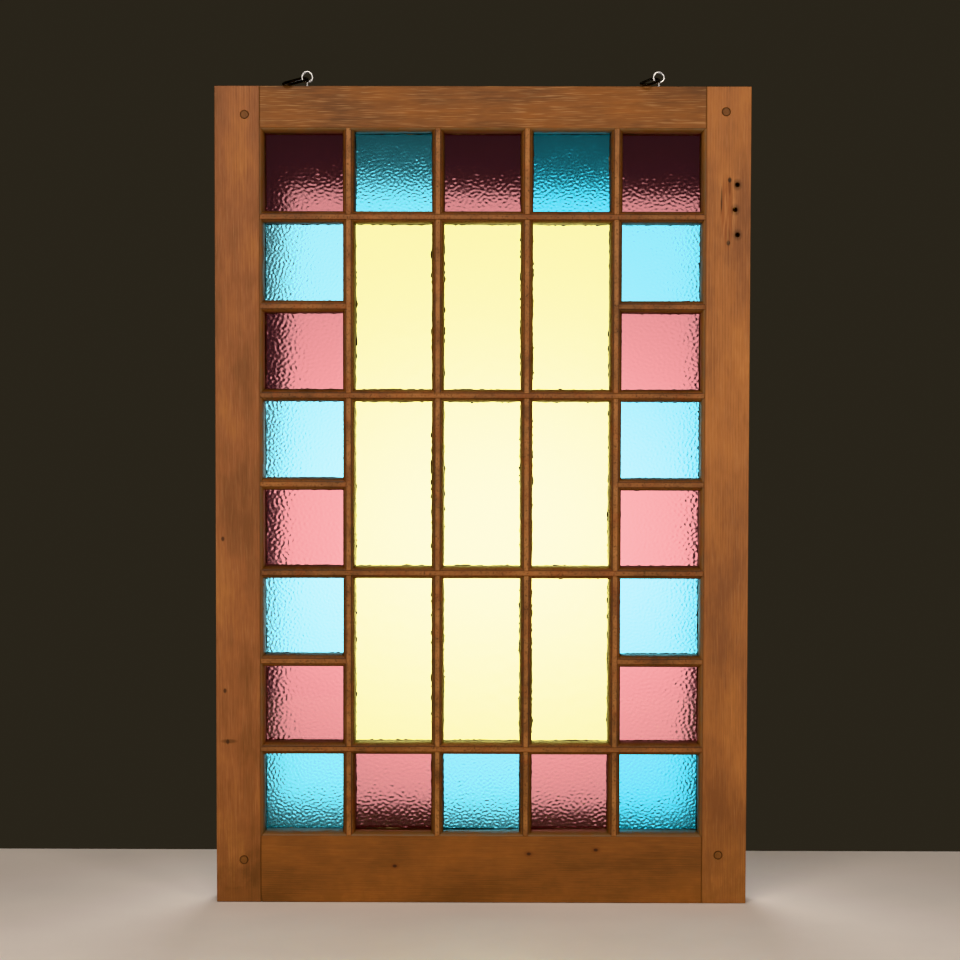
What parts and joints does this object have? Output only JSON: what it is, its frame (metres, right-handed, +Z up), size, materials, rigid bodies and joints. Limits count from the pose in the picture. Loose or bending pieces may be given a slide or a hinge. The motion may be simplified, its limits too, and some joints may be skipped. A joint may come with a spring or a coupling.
{
  "type": "stained glass window",
  "caption": "Pegged timber window sash with moulded glazing bars holding rose, turquoise and pale yellow rolled glass panes, with screw eyes to hang it.",
  "frame": {"origin": "midway between the ring centres of the two screw eyes in the top edge, at mid thickness", "axes": "+Z up, +X to the right as seen from the moulded room side, which faces -Y"},
  "size_m": [0.61, 0.0478, 0.9558],
  "materials": {
    "oiled_pine_frame": "worn oil over honey brown pine",
    "pine_glazing_bars": "worn oil, darker and dusty in the mouldings",
    "pine_pegs": "end grain, darkened by oil",
    "rose_rolled_glass": "purple rose cathedral glass, rolled ripple",
    "turquoise_rolled_glass": "turquoise cathedral glass, rolled ripple",
    "pale_yellow_rolled_glass": "pale yellow cathedral glass, faint ripple",
    "zinc_plated_steel": "bright zinc plate",
    "blackened_steel": "blackened, worn on its edges"
  },
  "bodies": {
    "root": {"stile_left": "oiled_pine_frame", "stile_right": "oiled_pine_frame", "rail_top": "oiled_pine_frame", "rail_bottom": "oiled_pine_frame", "peg_top_left": "pine_pegs", "peg_top_right": "pine_pegs", "peg_bottom_left": "pine_pegs", "peg_bottom_right": "pine_pegs", "bar_long_1": "pine_glazing_bars", "bar_long_2": "pine_glazing_bars", "bar_long_3": "pine_glazing_bars", "bar_long_4": "pine_glazing_bars", "bar_upright_1": "pine_glazing_bars", "bar_upright_2": "pine_glazing_bars", "bar_upright_3": "pine_glazing_bars", "bar_upright_4": "pine_glazing_bars", "bar_short_left_1": "pine_glazing_bars", "bar_short_left_2": "pine_glazing_bars", "bar_short_left_3": "pine_glazing_bars", "bar_short_right_1": "pine_glazing_bars", "bar_short_right_2": "pine_glazing_bars", "bar_short_right_3": "pine_glazing_bars", "pane_rose_r1_c1": "rose_rolled_glass", "pane_rose_r1_c3": "rose_rolled_glass", "pane_rose_r1_c5": "rose_rolled_glass", "pane_rose_r3_c1": "rose_rolled_glass", "pane_rose_r3_c5": "rose_rolled_glass", "pane_rose_r5_c1": "rose_rolled_glass", "pane_rose_r5_c5": "rose_rolled_glass", "pane_rose_r7_c1": "rose_rolled_glass", "pane_rose_r7_c5": "rose_rolled_glass", "pane_rose_r8_c2": "rose_rolled_glass", "pane_rose_r8_c4": "rose_rolled_glass", "pane_turquoise_r1_c2": "turquoise_rolled_glass", "pane_turquoise_r1_c4": "turquoise_rolled_glass", "pane_turquoise_r2_c1": "turquoise_rolled_glass", "pane_turquoise_r2_c5": "turquoise_rolled_glass", "pane_turquoise_r4_c1": "turquoise_rolled_glass", "pane_turquoise_r4_c5": "turquoise_rolled_glass", "pane_turquoise_r6_c1": "turquoise_rolled_glass", "pane_turquoise_r6_c5": "turquoise_rolled_glass", "pane_turquoise_r8_c1": "turquoise_rolled_glass", "pane_turquoise_r8_c3": "turquoise_rolled_glass", "pane_turquoise_r8_c5": "turquoise_rolled_glass", "pane_yellow_r2_c2": "pale_yellow_rolled_glass", "pane_yellow_r2_c3": "pale_yellow_rolled_glass", "pane_yellow_r2_c4": "pale_yellow_rolled_glass", "pane_yellow_r4_c2": "pale_yellow_rolled_glass", "pane_yellow_r4_c3": "pale_yellow_rolled_glass", "pane_yellow_r4_c4": "pale_yellow_rolled_glass", "pane_yellow_r6_c2": "pale_yellow_rolled_glass", "pane_yellow_r6_c3": "pale_yellow_rolled_glass", "pane_yellow_r6_c4": "pale_yellow_rolled_glass", "screw_eye_left": "zinc_plated_steel", "screw_eye_right": "zinc_plated_steel", "hanging_link_left": "blackened_steel", "hanging_link_right": "blackened_steel"}
  },
  "joints": []
}
